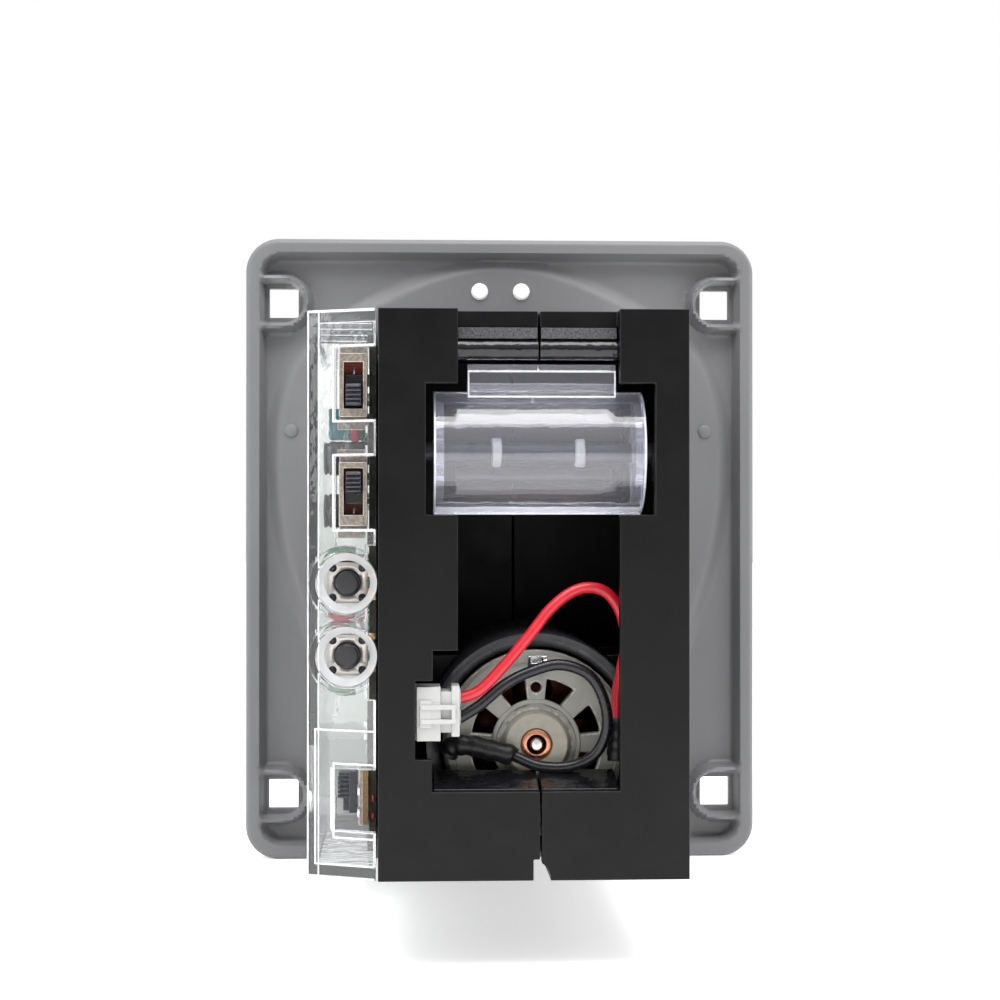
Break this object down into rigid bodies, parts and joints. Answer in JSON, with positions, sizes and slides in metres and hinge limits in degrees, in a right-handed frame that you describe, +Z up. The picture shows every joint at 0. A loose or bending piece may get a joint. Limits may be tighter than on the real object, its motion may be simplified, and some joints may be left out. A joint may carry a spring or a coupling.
{
  "type": "bill validator",
  "caption": "Bill validator for a vertical panel: bezel and snout with bill slot, hinged two-shell housing, geared motor, bill rollers, clear side cover over switches and buttons.",
  "frame": {"origin": "middle of the whole object's box in X and Y, at the height of the bezel's bottom edge", "axes": "+Z up, +Y out of the bezel's front where bills go in, -Y towards the housing's rear, +X to the right seen from the rear"},
  "size_m": [0.097, 0.142, 0.118],
  "materials": {
    "grey_plastic": "fine moulded grain, mid grey",
    "black_plastic": "satin black moulding",
    "clear_plastic": "clear polycarbonate, polished",
    "white_nylon": "natural white nylon",
    "bell_plastic": "grey-beige thermoset",
    "steel": "bright steel",
    "dark_steel": "dark zinc-plated steel",
    "bronze": "sintered bronze and copper",
    "rubber": "black rubber",
    "red_pvc": "red wire insulation",
    "black_pvc": "black wire insulation and sleeve",
    "circuit_board": "green solder mask",
    "black_parts": "black moulded parts"
  },
  "bodies": {
    "root": {"bezel_plate": "grey_plastic", "bezel_screw_1": "steel", "bezel_screw_2": "steel", "bezel_screw_3": "steel", "bezel_snout": "grey_plastic", "black_wire": "black_pvc", "button_case_1": "dark_steel", "button_case_2": "dark_steel", "capacitor_1": "black_parts", "capacitor_2": "black_parts", "clear_cover": "clear_plastic", "controller_chip": "black_parts", "flux_ring": "dark_steel", "front_right_guide": "black_plastic", "gearhead_case": "black_plastic", "hinge_pin": "steel", "host_socket": "white_nylon", "led_window_left": "clear_plastic", "led_window_right": "clear_plastic", "left_guide": "black_plastic", "left_shell": "black_plastic", "main_board": "circuit_board", "motor_bushing": "bronze", "motor_can": "dark_steel", "motor_end_bell": "bell_plastic", "motor_plug": "white_nylon", "motor_socket": "white_nylon", "red_wire": "red_pvc", "sleeve_left": "black_pvc", "sleeve_right": "black_pvc", "spindle": "steel", "switch_frame_1": "steel", "switch_frame_2": "steel", "switch_frame_3": "steel"},
    "door": {"right_shell": "black_plastic", "exit_guide_outer": "black_plastic", "exit_guide_inner": "black_plastic"},
    "hood": {"clear_hood": "clear_plastic"},
    "rotor": {"motor_shaft": "steel", "armature": "bronze"},
    "gear_output": {"output_shaft": "steel", "drive_gear": "white_nylon"},
    "transfer": {"transfer_shaft": "steel", "driven_gear": "white_nylon", "bevel_pinion": "white_nylon"},
    "drive": {"drive_axle": "steel", "bevel_wheel": "white_nylon", "drive_roller_lower": "rubber", "drive_roller_upper": "rubber"},
    "pinch": {"pinch_axle": "steel", "pinch_roller_lower": "rubber", "pinch_roller_upper": "rubber"},
    "left_idler": {"spindle_roller_left": "white_nylon"},
    "right_idler": {"spindle_roller_right": "white_nylon"},
    "switch_1": {"switch_knob_1": "black_parts"},
    "switch_2": {"switch_knob_2": "black_parts"},
    "switch_3": {"switch_knob_3": "black_parts"},
    "button_1": {"button_plunger_1": "black_parts"},
    "button_2": {"button_plunger_2": "black_parts"}
  },
  "joints": [
    {"name": "door_hinge", "type": "hinge", "parent": "root", "child": "door", "pos_m": [0.00105, -0.014, 0.0146], "axis": [0, 1, 0], "range_deg": [0, 65]},
    {"name": "hood_hinge", "type": "hinge", "parent": "root", "child": "hood", "pos_m": [0.0009, -0.0617, 0.07455], "axis": [1, 0, 0], "range_deg": [0, 45]},
    {"name": "motor_spin", "type": "hinge", "parent": "root", "child": "rotor", "pos_m": [0.0009, -0.04, 0.0315], "axis": [0, 1, 0], "continuous": true},
    {"name": "output_spin", "type": "hinge", "parent": "root", "child": "gear_output", "pos_m": [0.0009, 0.007, 0.0315], "axis": [0, 1, 0], "continuous": true},
    {"name": "transfer_spin", "type": "hinge", "parent": "root", "child": "transfer", "pos_m": [-0.0061, 0.019, 0.0315], "axis": [0, 1, 0], "continuous": true},
    {"name": "drive_spin", "type": "hinge", "parent": "root", "child": "drive", "pos_m": [-0.0061, 0.041, 0.06], "axis": [0, 0, 1], "continuous": true},
    {"name": "pinch_spin", "type": "hinge", "parent": "root", "child": "pinch", "pos_m": [0.0052, 0.041, 0.06], "axis": [0, 0, 1], "continuous": true},
    {"name": "left_idler_spin", "type": "hinge", "parent": "root", "child": "left_idler", "pos_m": [-0.0051, -0.0617, 0.07455], "axis": [1, 0, 0], "continuous": true},
    {"name": "right_idler_spin", "type": "hinge", "parent": "root", "child": "right_idler", "pos_m": [0.0072, -0.0617, 0.07455], "axis": [1, 0, 0], "continuous": true},
    {"name": "switch_1_slide", "type": "slide", "parent": "root", "child": "switch_1", "axis": [0, 0, 1], "range_m": [0, 0.0015]},
    {"name": "switch_2_slide", "type": "slide", "parent": "root", "child": "switch_2", "axis": [0, 0, -1], "range_m": [0, 0.0015]},
    {"name": "switch_3_slide", "type": "slide", "parent": "root", "child": "switch_3", "axis": [0, 0, -1], "range_m": [0, 0.0015]},
    {"name": "button_1_press", "type": "slide", "parent": "root", "child": "button_1", "axis": [0, 1, 0], "range_m": [0, 0.00025], "stiffness_N_per_m": 400},
    {"name": "button_2_press", "type": "slide", "parent": "root", "child": "button_2", "axis": [0, 1, 0], "range_m": [0, 0.00025], "stiffness_N_per_m": 400}
  ],
  "couplings": [
    {"joint": "output_spin", "follows": "motor_spin", "ratio": 0.052632},
    {"joint": "transfer_spin", "follows": "motor_spin", "ratio": -0.052632},
    {"joint": "drive_spin", "follows": "motor_spin", "ratio": -0.052632},
    {"joint": "pinch_spin", "follows": "motor_spin", "ratio": 0.092105}
  ]
}
